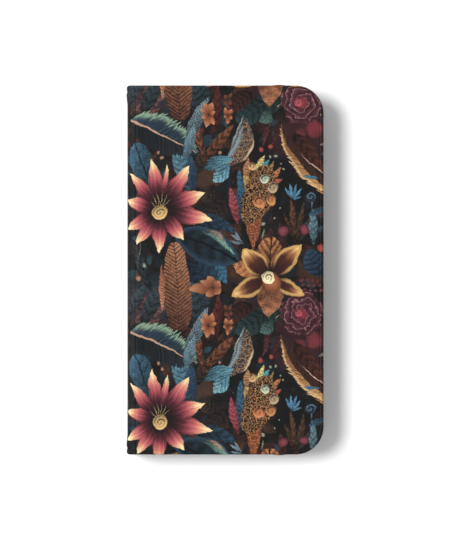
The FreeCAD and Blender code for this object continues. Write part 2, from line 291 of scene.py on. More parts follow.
class Shade:
    """One number coming out of a node. Sums written with it add nodes to its material."""

    def __init__(self, finish, socket):
        self.finish = finish
        self.socket = socket

    def maths(self, operation, *values):
        return self.finish.node("Math", {"operation": operation}, dict(enumerate(values)))

    def __add__(self, other):
        return self.maths("ADD", self, other)

    def __sub__(self, other):
        return self.maths("SUBTRACT", self, other)

    def __rsub__(self, other):
        return self.maths("SUBTRACT", other, self)

    def __mul__(self, other):
        return self.maths("MULTIPLY", self, other)

    def __truediv__(self, other):
        return self.maths("DIVIDE", self, other)

    def __pow__(self, other):
        return self.maths("POWER", self, other)

    def __gt__(self, other):
        return self.maths("GREATER_THAN", self, other)

    def __abs__(self):
        return self.maths("ABSOLUTE", self)

    __radd__ = __add__
    __rmul__ = __mul__

    def most(self, other):
        return self.maths("MAXIMUM", self, other)

    def wave(self):
        """A ripple from -1 to 1, once for every 1 that the value grows."""
        return self.maths("SINE", self * (2 * np.pi))

    def rises(self, low, high):
        """0 below low, 1 above high, easing between."""
        settings = {"interpolation_type": "SMOOTHSTEP", "clamp": False}
        return self.finish.node("MapRange", settings, {"Value": self, "From Min": low, "From Max": high})


def ink(code):
    """A colour from its usual six figures, as the share of light it gives back."""
    parts = np.array([int(code[i:i + 2], 16) for i in (0, 2, 4)]) / 255
    linear = np.where(parts < 0.04045, parts / 12.92, ((parts + 0.055) / 1.055) ** 2.4)
    return (*linear.tolist(), 1.0)


class Finish:
    """One material being drawn."""

    def __init__(self, name, constants={}):
        self.material = bpy.data.materials.new(name)
        self.material.use_nodes = True
        self.tree = self.material.node_tree
        self.shader = self.tree.nodes["Principled BSDF"]
        for socket, value in constants.items():
            self.shader.inputs[socket].default_value = value

    def node(self, kind, settings, inputs, output=0):
        """Adds a node: its settings are made first, then its inputs are set or linked."""
        node = self.tree.nodes.new("ShaderNode" + kind)
        for setting, value in settings.items():
            setattr(node, setting, value)
        for socket, value in inputs.items():
            if isinstance(value, Shade):
                self.tree.links.new(value.socket, node.inputs[socket])
            else:
                node.inputs[socket].default_value = value
        return Shade(self, node.outputs[output])

    def parts(self, colour):
        """A colour's three numbers."""
        red = self.node("SeparateColor", {}, {0: colour})
        return [Shade(self, socket) for socket in red.socket.node.outputs]

    def plane(self, x, y, per_x, per_y, start):
        """The sum per_x x + per_y y + start."""
        rest = self.node("Math", {"operation": "MULTIPLY_ADD"}, {0: y, 1: per_y, 2: start})
        return self.node("Math", {"operation": "MULTIPLY_ADD"}, {0: x, 1: per_x, 2: rest})

    def mix(self, share, first, second):
        """Passes from the first colour to the second as the share goes from 0 to 1."""
        return self.node("Mix", {"data_type": "RGBA"}, {0: share, 6: first, 7: second}, 2)

    def lit(self, colour, light):
        """A colour made lighter or darker."""
        settings = {"data_type": "RGBA", "clamp_factor": False}
        return self.node("Mix", settings, {0: light, 6: (0, 0, 0, 1), 7: colour}, 2)

    def ramp(self, value, stops):
        """A colour for each value, passing through the colours given at their places."""
        shade = self.node("ValToRGB", {}, {0: value})
        band = shade.socket.node.color_ramp
        for place, _ in stops[2:]:
            band.elements.new(place)
        for element, (place, code) in zip(band.elements, sorted(stops)):
            element.position = place
            element.color = ink(code)
        return shade

    def noise(self, place, scale, detail=2.0, roughness=0.5, output="Fac"):
        values = {"Vector": place, "Scale": scale, "Detail": detail, "Roughness": roughness}
        return self.node("TexNoise", {}, values, output)

    def strands(self, value):
        """Uneven from 0 to 1 along a line of numbers."""
        return self.node("TexNoise", {"noise_dimensions": "1D"}, {"W": value, "Scale": 1.0, "Detail": 2.0})

    def grain(self, size, depth, detail=3.0):
        """Raises an uneven grain of a given size, and gives its height."""
        place = self.node("TexCoord", {}, {}, "Object")
        height = self.noise(place, 1 / size, detail, 0.6)
        self.feed("Normal", self.node("Bump", {}, {"Strength": 1.0, "Distance": depth, "Height": height}))
        return height

    def feed(self, socket, value):
        """Links a value to one of the shader's sockets."""
        self.tree.links.new(value.socket, self.shader.inputs[socket])


REPEAT = 89.7  # the print's repeat, both ways, in millimetres
SHARED = 30  # motifs whose middles round to the same multiple of this share their places
GROUP = 150  # nodes in a group, at which the next motif starts another
WANDER = 3.2  # how far the brush strays, in millimetres


class Print(Finish):
    """The printed picture, painted back to front in millimetres on the flat sheet.

    Its nodes are kept in groups. x and y are the place, brush and fine are uneven
    from 0 to 1, ring and seam are the distances to the middle and the edge of a net's cell, and
    picture is what has been painted so far.
    """

    NUMBERS = ("x", "y", "brush", "fine", "ring", "seam")

    def open_group(self):
        self.outside = [getattr(self, name) for name in (*self.NUMBERS, "picture")]
        self.tree = bpy.data.node_groups.new("print", "ShaderNodeTree")
        for name in self.NUMBERS:
            self.tree.interface.new_socket(name, in_out="INPUT", socket_type="NodeSocketFloat")
        self.tree.interface.new_socket("picture", in_out="INPUT", socket_type="NodeSocketColor")
        self.tree.interface.new_socket("picture", in_out="OUTPUT", socket_type="NodeSocketColor")
        inputs = self.tree.nodes.new("NodeGroupInput")
        for name, socket in zip((*self.NUMBERS, "picture"), inputs.outputs):
            setattr(self, name, Shade(self, socket))

    def close_group(self):
        output = self.tree.nodes.new("NodeGroupOutput")
        self.tree.links.new(self.picture.socket, output.inputs[0])
        group = self.tree
        self.tree = self.material.node_tree
        painted = self.node("Group", {"node_tree": group}, dict(enumerate(self.outside)))
        for name, value in zip(self.NUMBERS, self.outside):
            setattr(self, name, value)
        self.picture = painted

    def paint(self, colour, mask):
        self.picture = self.mix(mask, self.picture, colour)

    def near(self, x, y):
        """Places as seen from the nearest repeat of a point. Every motif starts with this."""
        if len(self.tree.nodes) > GROUP:
            self.close_group()
            self.open_group()
        return self.wrapped(x, y)

    def wrapped(self, x, y):
        """Places in the repeat that lies round a rounded middle."""
        half = REPEAT / 2
        middle_x, middle_y = (round(value / SHARED) * SHARED for value in (x, y))
        across = self.x.maths("WRAP", self.x, middle_x + half, middle_x - half)
        return across, self.y.maths("WRAP", self.y, middle_y + half, middle_y - half)

    def blade(self, near, root, tip, half, bend=0.0, fullest=0.5, point=1.0):
        """A leaf, petal or stroke: place along it, place across it, and depth inside its outline.

        The half width is t to a power times 1 - t to a power, made 1 where it is fullest, and the
        middle line bows by 4 t (1 - t) times the bend.
        """
        run_x, run_y = tip[0] - root[0], tip[1] - root[1]
        length = float(np.hypot(run_x, run_y))
        per_x, per_y = run_x / length**2, run_y / length**2
        along = self.plane(*near, per_x, per_y, -per_x * root[0] - per_y * root[1])
        per_x, per_y = -run_y / length / half, run_x / length / half
        across = self.plane(*near, per_x, per_y, -per_x * root[0] - per_y * root[1])
        left = 1 - along
        if bend:
            across = across - along * left * (4 * bend)
        early = point * fullest / (1 - fullest)
        top = fullest**early * (1 - fullest) ** point
        width = (along if early == 1.0 else along**early) * (left if point == 1.0 else left**point)
        return along, across, width * (1 / top) - abs(across)

    def leaf(self, root, tip, half, base, end, bend=0.0, fullest=0.5, point=1.0, veins=0.0, slope=1.0,
             vein_depth=0.3, quill=None, quill_width=0.08, rim=None, side=0.25, soft=0.35):
        """Paints a leaf or feather, with barbs that slope from its middle line, a quill and a pale rim."""
        near = self.near((root[0] + tip[0]) / 2, (root[1] + tip[1]) / 2)
        along, across, depth = self.blade(near, root, tip, half, bend, fullest, point)
        colour = self.mix(along + (self.brush - 0.5) * 1.1, ink(base), ink(end))
        light = across * side + 1.0
        if veins:
            light = light + (along * veins - abs(across) * slope).wave() * vein_depth
        light = light + (self.fine - 0.5) * 2.7 + (self.brush - 0.5) * 0.6
        colour = self.lit(colour, light)
        if rim:
            colour = self.mix(depth.rises(0.45, 0.02), colour, ink(rim))
        if quill:
            colour = self.mix((quill_width - abs(across)) * (half / 0.25), colour, ink(quill))
        self.paint(colour, depth * (half / soft))

    def gathered(self, blades):
        """Blades as one: where they meet, each keeps to the side on which a place is deeper in it.

        A blade is its place along, its place across, its depth, its half width and, in a bunch, its
        colour. The depth comes back in millimetres.
        """
        along = None
        for t, s, d, half, *codes in blades:
            d = d * half
            if along is None:
                along, across, depth, colour = t, s, d, ink(codes[0]) if codes else None
                continue
            nearer = d > depth
            along = self.node("Mix", {"data_type": "FLOAT"}, {0: nearer, 2: along, 3: t})
            across = self.node("Mix", {"data_type": "FLOAT"}, {0: nearer, 2: across, 3: s})
            if codes:
                colour = self.mix(nearer, colour, ink(codes[0]))
            depth = depth.most(d)
        return along, across, depth, colour

    def bunch(self, leaves, root_light=0.35, veins=6.0, vein_depth=0.2, soft=0.5):
        """Paints plain leaves or strokes together, each dark at its root.

        A leaf is its root, tip, half width, colour and, if it has one, its bend.
        """
        self.near(0, 0)

        def blades():
            for root, tip, half, code, *bend in leaves:
                near = self.wrapped((root[0] + tip[0]) / 2, (root[1] + tip[1]) / 2)
                yield *self.blade(near, root, tip, half, *bend), half, code

        along, across, depth, colour = self.gathered(blades())
        light = along * (1 - root_light) + root_light + across * 0.18
        if veins:
            light = light + (along * veins - abs(across) * 0.9).wave() * vein_depth
        light = light + (self.fine - 0.5) * 2.7 + (self.brush - 0.5) * 0.8
        self.paint(self.lit(colour, light), depth * (1 / soft))

    def flower(self, centre, petals, stops, vein=14, dark=0.5, fullest=0.45, rim=None):
        """Paints petals round a centre. A petal is the way to its tip and its half width."""
        near = self.near(*centre)
        along, across, depth, _ = self.gathered(
            (*self.blade(near, centre, (centre[0] + way_x, centre[1] + way_y), half, fullest=fullest), half)
            for way_x, way_y, half in petals
        )
        streaks = self.strands(across * 7 + along)
        colour = self.ramp(along + (streaks - 0.5) * 0.35 + (self.fine - 0.5) * 0.1, stops)
        veins = (across * (vein * 0.5)).wave() * (1 - along) * 0.10
        shade = veins + 1 - (1 - depth.rises(0.0, 1.3)) * (1 - along) * dark
        if rim:
            colour = self.mix(depth.rises(1.9, 0.9) * along.rises(0.15, 0.45), colour, ink(rim))
        self.paint(self.lit(colour, shade), depth * (1 / 0.3))

    def round(self, near, centre, radius):
        """How far inside a round spot a point lies: 1 less the square of its distance in radii."""
        x, y = near[0] - centre[0], near[1] - centre[1]
        square = self.node("Math", {"operation": "MULTIPLY_ADD"}, {0: y, 1: y, 2: x * x})
        return x, y, self.node("Math", {"operation": "MULTIPLY_ADD"},
                               {0: square, 1: -1 / radius**2, 2: 1.0})

    def disc(self, near, centre, radius):
        """The way from a centre, and how far inside a round spot a point lies as a share of its radius."""
        x, y = near[0] - centre[0], near[1] - centre[1]
        square = self.node("Math", {"operation": "MULTIPLY_ADD"}, {0: y, 1: y, 2: x * x})
        return x, y, 1 - square.maths("SQRT", square) / radius

    def turn(self, x, y):
        """The way's direction, from -0.5 to 0.5 once round."""
        return self.node("Math", {"operation": "ARCTAN2"}, {0: y, 1: x}) * (1 / (2 * np.pi))

    def spots(self, spots, colour, shine):
        """Paints berries or beads, paler in the middle."""
        depth = None
        for x, y, radius in spots:
            *_, inside = self.round(self.wrapped(x, y), (x, y), radius)
            depth = inside if depth is None else depth.most(inside)
        self.paint(self.mix(depth, ink(colour), ink(shine)), depth * 3)

    def bud(self, centre, radius, light, dark, turns=2.5):
        """Paints a rolled bud: a pale round with a dark spiral in it, brighter below."""
        x, y, depth = self.disc(self.near(*centre), centre, radius)
        spiral = ((1 - depth) * turns + self.turn(x, y) + (self.fine - 0.5) * 0.9).wave()
        lower = (y * (-1 / radius)).rises(-0.9, 0.9)
        line = spiral.rises(-0.1, 0.8) * depth.rises(0.0, 0.35) * (1 - lower * 0.8)
        colour = self.mix(line, ink(light), ink(dark))
        self.paint(self.lit(colour, lower * 0.5 + 0.75), depth * (radius / 0.4))

    def rose(self, centre, radius):
        """Paints a full rose: rings of petals, each with a thin pale edge, round a red heart."""
        x, y, depth = self.disc(self.near(*centre), centre, radius)
        turn = self.turn(x, y)
        lobes = (turn * 5).wave() * 0.06 + (self.brush - 0.5) * 0.5
        rings = (1 - depth + lobes) * 3.6 + turn * 2
        ring = self.node("Math", {"operation": "FRACT"}, {0: rings})
        body = self.ramp(ring, [(0.0, "3A2028"), (1.0, "8A5058"), (0.55, "5A2C38"), (0.88, "74404A"),
                                (0.94, "B08A8C")])
        heart = self.mix(depth.rises(0.62, 0.95), body, ink("8E3038"))
        self.paint(heart, (depth + lobes) * (radius / 0.4))

    def lattice(self, dark, gold, pale):
        """A filigree: rings round the middle of every cell of the net, and bright lines between cells."""
        curls = (self.ring * 2.6 + (self.brush - 0.5) * 4.5).wave()
        colour = self.mix(curls.rises(0.1, 0.95), ink(dark), ink(gold))
        line = self.seam.rises(0.07, 0.0) * self.fine
        return self.lit(self.mix(line, colour, ink(pale)), (self.fine - 0.5) * 1.4 + 0.9)

    def scatter(self, size, codes, seed, slim):
        """Strews small leaves all over, one in each square of a slanting net, turned at random."""
        self.near(0, 0)
        slant = 0.4 + 0.5 * seed
        step_x, step_y = np.cos(slant) / size, np.sin(slant) / size
        u = self.plane(self.x, self.y, step_x, step_y, seed * 7.3)
        v = self.plane(self.x, self.y, -step_y, step_x, seed * 3.1)
        row = u.maths("FLOOR", u)
        v = v + row * 0.37
        column = v.maths("FLOOR", v)
        settings = {"noise_dimensions": "1D"}
        chance = self.node("TexWhiteNoise", settings, {"W": row * 17.3 + column * 3.7}, "Color")
        pick, turn, shift = self.parts(chance)
        u = u - row - 0.4 - shift * 0.2
        v = v - column - 0.6 + shift * 0.2
        turn = turn * (2 * np.pi)
        cosine = turn.maths("COSINE", turn)
        sine = turn.maths("SINE", turn)
        along = (u * cosine + v * sine) * 1.1 + 0.5
        across = (v * cosine - u * sine) * (1.1 / slim)
        depth = along * (1 - along) * 4 - abs(across)
        stops = [(i / len(codes), code) for i, code in enumerate(codes)]
        ramp = self.ramp(pick, stops)
        ramp.socket.node.color_ramp.interpolation = "CONSTANT"
        veins = (along * 7 - abs(across) * 0.8).wave() * 0.18
        light = along * 0.7 + 0.65 + veins + (self.fine - 0.5) * 2.8
        self.paint(self.lit(ramp, light), depth * (size * slim))

    def glow(self, x, y, radius, code, strength):
        """Paints a soft patch of colour."""
        *_, depth = self.round(self.near(x, y), (x, y), radius)
        ragged = (depth + (self.brush - 0.5) * 1.6).rises(0.0, 0.9)
        self.paint(ink(code), ragged * strength)

    def feather(self, root, tip, half, upper, lower, fringe, quill, bend, barbs, fullest, point=0.7):
        """Paints a feather: two vanes of ragged barbs on a pale quill, one with a light fringe."""
        near = self.near((root[0] + tip[0]) / 2, (root[1] + tip[1]) / 2)
        along, across, depth = self.blade(near, root, tip, half, bend, fullest, point)
        comb = along * barbs - abs(across) * (barbs * 0.16)
        strand = self.strands(comb)
        ragged = depth + (strand - 0.62) * 0.75
        light = (strand - 0.5) * 2.2 + 0.9 + comb.wave() * 0.12
        vane = self.mix(along + (strand - 0.5) * 0.5, ink(upper[0]), ink(upper[1]))
        vane = self.mix(across > 0, self.mix(along, ink(lower[0]), ink(lower[1])), vane)
        tipped = ragged.rises(0.42, 0.1) * across.rises(-0.1, 0.35)
        vane = self.mix(tipped, self.lit(vane, light), ink(fringe))
        shaft = (0.075 - along * 0.05 - abs(across)) * (half / 0.22)
        self.paint(self.mix(shaft, vane, ink(quill)), ragged * (half / 0.5))


picture = Print("printed_leather", {"Roughness": 0.6, "Specular IOR Level": 0.14})
sheet = picture.node("Attribute", {"attribute_name": "print_mm"}, {}, "Vector")
drift_x, drift_y, _ = picture.parts(picture.noise(sheet, 0.14, 5, 0.66, "Color"))
picture.brush = picture.noise(sheet, 0.42, 4, 0.62)
picture.fine = picture.noise(sheet, 1.8, 2, 0.65)
cloud = picture.noise(sheet, 0.055, 3, 0.5)
net = {"Vector": sheet, "Scale": 0.38}
picture.ring = picture.node("TexVoronoi", {"feature": "F1", "voronoi_dimensions": "2D"}, net)
picture.seam = picture.node("TexVoronoi", {"feature": "DISTANCE_TO_EDGE", "voronoi_dimensions": "2D"}, net)
sheet_x, sheet_y, _ = picture.parts(picture.node("Attribute", {"attribute_name": "print_mm"}, {}, "Color"))
picture.x = (drift_x - 0.5) * WANDER + sheet_x
picture.y = (drift_y - 0.5) * WANDER + sheet_y

# The ground: near black, drifting to brown, wine red and teal, strewn with dim leaves.
picture.picture = picture.ramp(cloud + (picture.brush - 0.5) * 0.5, [
    (0.0, "151414"), (1.0, "2C3A42"), (0.34, "1C1A1A"), (0.46, "2A211E"), (0.54, "22282C"),
    (0.66, "3A2420")])
picture.open_group()
picture.scatter(13.0, ["22343C", "3A261E", "1C1C1D", "42261F", "202E34", "2C211C", "4A2E20"], 1, 0.32)
picture.scatter(9.0, ["1A1A1B", "2A4048", "46291D", "201F20", "38201F", "4E3424", "1D2830"], 2, 0.30)
picture.scatter(5.5, ["171616", "34505A", "5A3624", "1C1B1C", "4A2428", "191817"], 3, 0.30)

# Soft patches under the larger flowers and leaves.
for patch in [
    (33, 56, 17, "48222A", 0.85), (38, 60, 4.5, "8A303C", 0.8), (32, 58, 3, "8A3440", 0.5),
    (40, 74, 9, "2E1E22", 0.7), (-32, -13, 14, "3A454D", 0.75), (-33, 74, 8, "5E4246", 0.6),
    (10, 54, 11, "191A1D", 0.8), (29, 31, 15, "16191C", 0.85), (24, 42, 8, "17181B", 0.8),
    (-9, 39, 6, "5A4234", 0.8), (-8, 28, 9, "2A2422", 0.7), (4, 2, 9, "54381F", 0.6),
    (37, -1, 7, "5C3B26", 0.7), (12, -16, 10, "42242A", 0.8), (-37, 61, 7, "23211F", 0.8),
]:
    picture.glow(*patch)

# Leaves and brush strokes at the back.
picture.bunch([
    ((-41, 66), (-24, 75), 2.6, "7E5A58"), ((-43, 71), (-27, 80), 2.4, "704A4A"),
    ((-40, 62), (-27, 69), 1.8, "704646"), ((-12, 66), (-9, 82), 4.6, "3A4850"),
    ((-4, 58), (-3, 80), 2.4, "642A24"), ((1, 60), (3, 76), 2.2, "6E3E24"),
    ((10, 62), (5, 80), 4.2, "5C3A28"), ((26, 78), (12, 66), 5.5, "2E4442"),
    ((-14, 40), (-5, 52), 3.4, "4C3A2C"), ((-40, 50), (-27, 40), 3.0, "34444A"),
])
picture.bunch([
    ((2, 31), (-9, 20), 4.5, "3E3430"), ((-2, 30), (-13, 33), 3.2, "463C34"),
    ((28, 60), (43, 41), 3.4, "5A2E22"), ((19, 66), (16, 52), 1.3, "6A343A"),
    ((24, 64), (20, 53), 1.2, "5A2A30"), ((30, 12), (25, 25), 1.2, "5A3E28"),
    ((30, 12), (28, 31), 1.4, "6E4A30"), ((30, 11), (34, 30), 1.4, "5C442E"),
    ((31, 11), (38, 25), 1.1, "4A5048"), ((38, 10), (37, 26), 2.1, "6A8A96"),
    ((26, 6), (23, 21), 1.8, "54302A"), ((41, -3), (35, 9), 5.0, "2E4A60"),
])
picture.bunch([
    ((-36, -25), (-26, -4), 3.6, "434E55"), ((-42, -20), (-34, -6), 2.8, "48545B"),
    ((-31, -10), (-39, 12), 2.6, "3A444A"), ((-12, -24), (-14, -4), 4.2, "3A505C"),
    ((-14, 12), (-2, -6), 4.6, "28485E"), ((-17, 6), (-9, -10), 3.4, "253A4C"),
    ((-6, 6), (1, -6), 3.2, "3E7088"), ((-9, 5), (-6, -3), 1.8, "54424E"),
    ((12, -14), (2, -22), 5.0, "4A2A26"), ((18, -18), (4, -27), 5.5, "30484A"),
    ((20, -22), (15, -27), 3.4, "56746E"), ((44, 27), (35, 23), 1.6, "3E6274"),
])
picture.bunch([((-10, 46), (4, 62), 2.6, "7A4A2C"), ((-9, 45), (-13, 67), 1.7, "8A4C2A")], vein_depth=0.3)

# The pointed blue leaves and the long dark leaf beside the crimson flower.
picture.leaf((-30, 34), (-38.5, 54.5), 5.0, "1A2A36", "426A80", bend=0.12, fullest=0.6, point=0.65,
             quill="18242C", side=0.35, veins=5, vein_depth=0.12)
picture.leaf((-15, 32), (-20, 54), 4.4, "1E3448", "5E8896", fullest=0.6, point=0.7, veins=9, slope=1.3)
picture.leaf((-13, 32), (-15, 50), 2.4, "1C3044", "34566E", fullest=0.6)
picture.leaf((-16, 22), (5, 16), 3.4, "14222A", "2A4A60", bend=0.5, fullest=0.45, point=0.8, veins=5)
picture.leaf((-22, 16), (6, 3.5), 7.6, "101E24", "24404C", bend=0.1, fullest=0.5, point=0.8, veins=5,
             slope=0.8, vein_depth=0.3, rim="2E4E62", quill="0C161A")
picture.leaf((-13, 18), (4.5, 6), 1.5, "26322F", "92B8A6", bend=1.1, fullest=0.6, point=0.9, soft=0.9)
picture.leaf((-9, 17.6), (1, 11.5), 1.1, "4E4640", "C4A48E", bend=0.8, soft=0.9)

# Feathers: a teal one with a pale fringe, a copper one woven like a fishbone, and grey strands.
picture.feather((-40.5, 63.5), (-11.5, 49), 8.6, ("34485E", "26444A"), ("1E2529", "303A40"), "8FA890",
                "BE9A80", bend=0.12, fullest=0.42, barbs=34)
picture.leaf((-18, 51), (-7, 74), 2.8, "3A4A54", "74868C", veins=16, slope=2.4, vein_depth=0.4)
picture.leaf((-17, 46), (-13, 62), 2.4, "46606C", "7A929A", veins=14, slope=2.4, vein_depth=0.4)
picture.leaf((-19, -26), (-21.6, 12), 5.9, "5A3424", "9A6A48", fullest=0.42, point=0.42, veins=24,
             slope=2.6, vein_depth=0.45, quill="3A2018", quill_width=0.04, side=-0.2)
picture.leaf((-26.5, -18), (-27, 3), 1.5, "B47A50", "8A5434", veins=18, slope=1.0)
picture.feather((48, 33.5), (23.6, 62.5), 3.6, ("C89C5C", "7A4628"), ("4A2E22", "4A2C20"), "DDBA84",
                "7A5238", bend=1.35, barbs=30, fullest=0.38, point=0.6)
picture.bunch([((47, 38.6), (31, 50), 0.35, "D8B4A4", 2.0), ((47, 32.5), (34, 37.2), 0.7, "D8B070"),
               ((47, 31), (38, 34.6), 0.5, "C09058"), ((40.5, 39), (33, 40), 0.9, "3E7890")],
              root_light=0.8, veins=0, soft=0.3)

# The jewelled feather: a net of gold rings, cream on its outer edge and pale blue on its inner one.
near = picture.near(7, 54)
along, across, depth = picture.blade(near, (1, 44), (9, 65), 4.1, -0.75, 0.42, 0.85)
jewels = picture.lattice("3A4650", "A5713F", "D9BC88")
jewels = picture.mix(across.rises(0.2, 0.9), jewels, ink("8FA8B4"))
jewels = picture.mix(across.rises(-0.62, -0.9), jewels, ink("D6BE98"))
picture.paint(jewels, depth * 9)
picture.leaf((1.5, 48), (8, 66), 0.9, "5A646A", "A9AEA8", bend=-0.2)
picture.leaf((4, 47), (-9.5, 42.5), 3.0, "6296A6", "2C4852", bend=-0.4, veins=3, slope=3, vein_depth=0.3)
picture.leaf((2, 45), (-5, 37), 3.2, "3A6A7C", "7AA6B0", veins=4, slope=2)

# The scrolled plume: a gold net with rings and flares, on an orange tail.
near = picture.near(14, 30)
along, across, depth = picture.blade(near, (12, 7.5), (12.4, 31), 3.4, 0.0, 0.62, 0.7)
picture.paint(picture.lattice("7A3C1C", "B0642C", "D09A5C"), depth * 9)
picture.bunch([
    ((5.5, 19), (2.2, 36), 2.2, "A04450"), ((7, 20), (5.4, 36), 2.0, "3C5A6C"),
    ((9, 23), (6, 43), 2.2, "3A6A80"), ((10, 24), (9, 43), 2.0, "B89258"),
    ((16, 36), (24.5, 44), 1.5, "B87840"), ((17, 35), (24.5, 39), 1.5, "B0583A"),
    ((16, 34), (21, 47), 1.4, "9A7848"), ((14, 40), (19, 47.5), 1.8, "4CA0A8"),
    ((12, 39), (17, 49.5), 1.6, "CEC07C"), ((9, 38), (9.5, 48), 1.8, "B08050"),
    ((11, 20), (16, 33), 4.0, "9A5E38"),
], root_light=0.5, veins=8)
near = picture.near(14, 32)
along, across, depth = picture.blade(near, (9, 20), (18, 45), 6.6, -0.12, 0.5, 0.5)
picture.paint(picture.lattice("2C2020", "B07A42", "D8B878"), depth * 9)
for x, y, radius, light, dark in [
    (11.5, 44, 2.0, "C8A070", "3A2420"), (17, 39, 2.1, "B8C0A8", "2A2A30"),
    (20.6, 35, 2.3, "B49A78", "2A3438"), (14.6, 29, 2.6, "C07A44", "4A2418"),
    (19.6, 30, 2.4, "B88048", "6A341C"),
]:
    picture.bud((x, y), radius, light, dark, 1.4)

# Blossoms, arrow leaves, sprigs, stems and berries.
ORANGE = [(0.0, "5E2E1A"), (1.0, "CC8E5C"), (0.45, "9E5C30")]
picture.flower((-6.9, 66), [(-2, 5.4, 1.7), (1.6, 5.6, 1.7), (3.2, 1.4, 1.5), (2.2, -4, 1.6),
                            (-1.2, -5.6, 1.8), (-3.2, -1.6, 1.6), (-3.6, 2.6, 1.4)], ORANGE)
picture.flower((1.4, 65.8), [(-1.4, 3.6, 1.2), (1.6, 3, 1.2), (1.8, -1.6, 1.1), (-0.4, -4, 1.2),
                             (-2, -0.6, 1.1)],
               ORANGE)
picture.flower((1.2, 72.4), [(-1.6, 2.4, 1.1), (1.6, 2.4, 1.1), (1.6, -2, 1.1), (-1.4, -2.2, 1.1)],
               [(0.0, "4A2A1C"), (1.0, "8A5434")])
picture.flower((-5, -7.2), [(-10.5, -1.2, 2.6), (-2.5, 5, 2.4), (3, 2.6, 2.2), (2.6, -3, 2.2),
                            (-3, -4, 2.4), (-6, 2.6, 2.0)],
                            [(0.0, "5E3420"), (1.0, "C08A5A"), (0.5, "9A5E38")])
picture.bunch([
    ((28.8, 30), (25.6, 35.5), 0.7, "5488A8"), ((28.8, 30), (27.6, 37), 0.7, "5E98B8"),
    ((28.8, 30), (30.4, 37), 0.7, "5488A8"), ((28.8, 30), (32.6, 35), 0.7, "5E98B8"),
    ((28.8, 30), (33, 31.6), 0.6, "5488A8"), ((36.6, 25), (37.4, 32), 0.5, "5A8096"),
    ((7.5, 12), (2, 15.5), 0.8, "8296A2"), ((7, 11.5), (4, 17), 0.7, "8296A2"),
    ((8, 11), (1.6, 12.6), 0.7, "70868F"), ((-37.6, -2), (-35.2, 16), 0.35, "7A7062"),
    ((3, 50), (8.6, 67), 0.5, "7A7872"), ((16, 12), (16.4, 18), 0.5, "8A9A80"),
    ((40, 53), (45, 54), 0.9, "9A9A8A"), ((41, 49), (46, 49.6), 0.8, "8A8A80"),
], root_light=0.6, veins=0, soft=0.3)
picture.bud((36.4, 31), 2.6, "27333C", "6A90A8", 1.6)
picture.spots([(24.7, 16.3, 2.4), (33.8, 17.2, 2.3)], "4A1C28", "8E4452")
picture.spots([(15.4, 51.2, 1.3), (19.6, 52.6, 1.1), (41, 9.4, 1.9)], "6A2420", "A84838")
picture.spots([(19.2, 48.3, 0.7), (21.6, 48.6, 0.7), (25, 43, 0.5), (24, 45, 0.4), (-34.2, 2.2, 1.1),
               (16.2, 19.6, 1.0), (23.4, 26, 0.5), (21, 22.4, 0.45)], "46524F", "A0A696")
picture.spots([(-37, -3.6, 1.3), (-28.4, 50, 0.9), (-26.8, 47.5, 0.9), (-31, 47, 0.7), (-2, 50, 0.8)],
              "6A4438", "B08868")
picture.spots([(34 + 2.4 * i - 0.8 * j, -9 + 2.2 * j, 0.85) for i in range(4) for j in range(3)], "4A2026",
              "7A363E")

# The plum rose, then the gold lily with its veined leaf and copper lower petal.
picture.rose((32.9, 71.1), 9.2)
picture.bud((31, 71.4), 1.8, "B04A58", "5E1E28", 1.1)
picture.leaf((19, -3), (19.4, 14), 5.6, "4A2A1A", "A06A3C", fullest=0.6, point=0.6, veins=4, slope=2.2,
             vein_depth=0.45, quill="33201A")
picture.leaf((17, -2), (3, 2.4), 3.6, "8A4E2A", "B0763F", fullest=0.6, veins=5)
picture.leaf((20, -2), (18.6, -20.4), 5.8, "4A241C", "A87048", fullest=0.45, veins=4, slope=0.6,
             vein_depth=0.2)
picture.flower(
    (19.1, -3.3), [(-12, 12.2, 4.9), (13.4, 14.4, 4.5), (15.2, -8, 3.2), (-16.8, -8, 4.2)],
    [(0.0, "2A1614"), (1.0, "F2DCA4"), (0.3, "44221E"), (0.55, "5E3024"), (0.72, "A8743C"),
     (0.86, "DDB870")],
    vein=9, fullest=0.48, rim="CFA45C", dark=0.8)
picture.spots([(19.8, -5, 4.5)], "6A3018", "B06A34")
picture.bud((18.4, -3.2), 3.1, "E8DAB0", "2E2016", 2.2)

# The crimson flower: eleven petals from plum through rose to a cream tip, round a gold bud.
CRIMSON = [(0.0, "1C1214"), (1.0, "F6E2B0"), (0.26, "30181D"), (0.42, "602634"), (0.56, "A84452"),
           (0.68, "CC6C68"), (0.78, "E0A07C"), (0.87, "F0D2A0")]
picture.flower(
    (-27.7, 25.7),
    [(-3.5, 21.8, 3.1), (3.4, 19.6, 1.8), (13, 19, 3.4), (19.2, 7.6, 4.0), (22.6, -4.4, 3.9),
     (10.6, -13, 3.6), (-0.5, -18.6, 3.2), (-10, -14.6, 3.2), (-14.6, -8.6, 3.2), (-14.6, 4, 3.4),
     (-13, 15.8, 3.0)],
    CRIMSON, vein=22, dark=0.8)
picture.bunch([
    ((-27.7, 26), (-27.7 + x, 26 + y), 0.2, "D8C490")
    for x, y in [(-3.4, 6.4), (-1.4, 7.6), (1.0, 7.8), (3.2, 6.8), (-4.6, 3.8), (4.8, 4.8)]
], root_light=0.6, veins=0, soft=0.25)
picture.bud((-27.6, 24.7), 3.3, "CCAA6C", "1E1010", 2.4)
picture.close_group()

muted = picture.node("HueSaturation", {}, {"Color": picture.picture, "Saturation": 0.86, "Value": 0.9})
picture.feed("Base Color", picture.node("Gamma", {}, {"Color": muted, "Gamma": 1.27}))
picture.grain(0.55 * MM, 0.03 * MM)

# The leather's back is a dark knitted cloth.
cloth = Finish("cloth_backing", {"Roughness": 0.95, "Specular IOR Level": 0.1})
knit = cloth.grain(0.3 * MM, 0.05 * MM)
cloth.feed("Base Color", cloth.ramp(knit, [(0.3, "151516"), (0.7, "2A2A2B")]))


